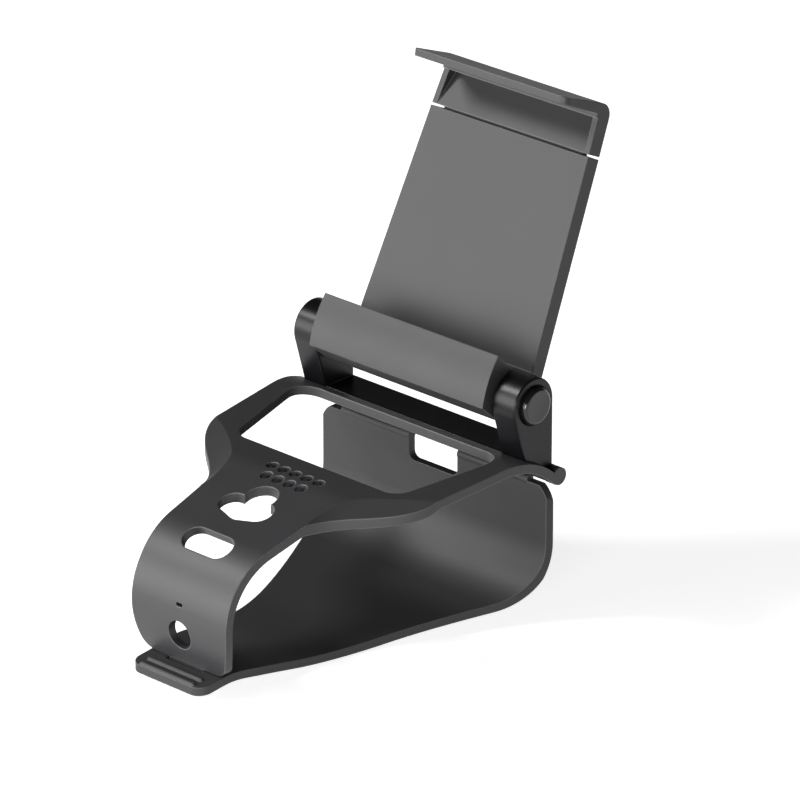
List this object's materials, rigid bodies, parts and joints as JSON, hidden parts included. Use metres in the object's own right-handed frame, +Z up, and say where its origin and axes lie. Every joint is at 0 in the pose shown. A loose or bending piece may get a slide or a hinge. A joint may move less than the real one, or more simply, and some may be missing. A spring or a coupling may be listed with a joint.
{
  "type": "controller phone clip",
  "caption": "Black plastic clip that hugs a game controller with a curved two-piece shell and holds a phone above it in a tilting, spring-loaded clamp.",
  "frame": {"origin": "middle of the thumb tab's front edge at the front of the lower shell, which is the reference point of the controller pocket", "axes": "+X to the player's right, where the push button is; +Y to the rear, from the thumb tab to the hinge; +Z up, along the hinge ears"},
  "size_m": [0.0738, 0.1199, 0.1188],
  "materials": {
    "shell_plastic": "satin, finely textured",
    "holder_plastic": "satin, finely textured",
    "gloss_plastic": "glossy",
    "screw_steel": "blackened",
    "spring_steel": "drawn"
  },
  "bodies": {
    "base": {"upper_shell": "shell_plastic", "hinge_bracket": "gloss_plastic", "bracket_screws": "screw_steel", "left_pivot_screw": "screw_steel"},
    "lower": {"lower_shell": "shell_plastic"},
    "holder": {"holder_front": "holder_plastic", "holder_cover": "holder_plastic", "cover_screws": "screw_steel", "hinge_axle": "spring_steel", "clamp_spring_left": "spring_steel", "clamp_spring_right": "spring_steel", "button_spring": "spring_steel"},
    "jaw": {"upper_jaw": "holder_plastic"},
    "button": {"push_button": "gloss_plastic", "lock_sleeve": "gloss_plastic"}
  },
  "joints": [
    {"name": "holder_tilt", "type": "hinge", "parent": "base", "child": "holder", "pos_m": [0, 0.0832, 0.05169], "axis": [1, 0, 0], "range_deg": [-60, 110]},
    {"name": "lower_shell_open", "type": "hinge", "parent": "base", "child": "lower", "pos_m": [0, 0.088, 0.03029], "axis": [1, 0, 0], "range_deg": [0, 25]},
    {"name": "upper_jaw_slide", "type": "slide", "parent": "holder", "child": "jaw", "axis": [0, 0.4226, 0.9063], "range_m": [0, 0.025], "stiffness_N_per_m": 280, "springref_m": -0.018},
    {"name": "push_button_press", "type": "slide", "parent": "base", "child": "button", "axis": [-1, 0, 0], "range_m": [0, 0.0024], "stiffness_N_per_m": 300, "springref_m": -0.005}
  ]
}
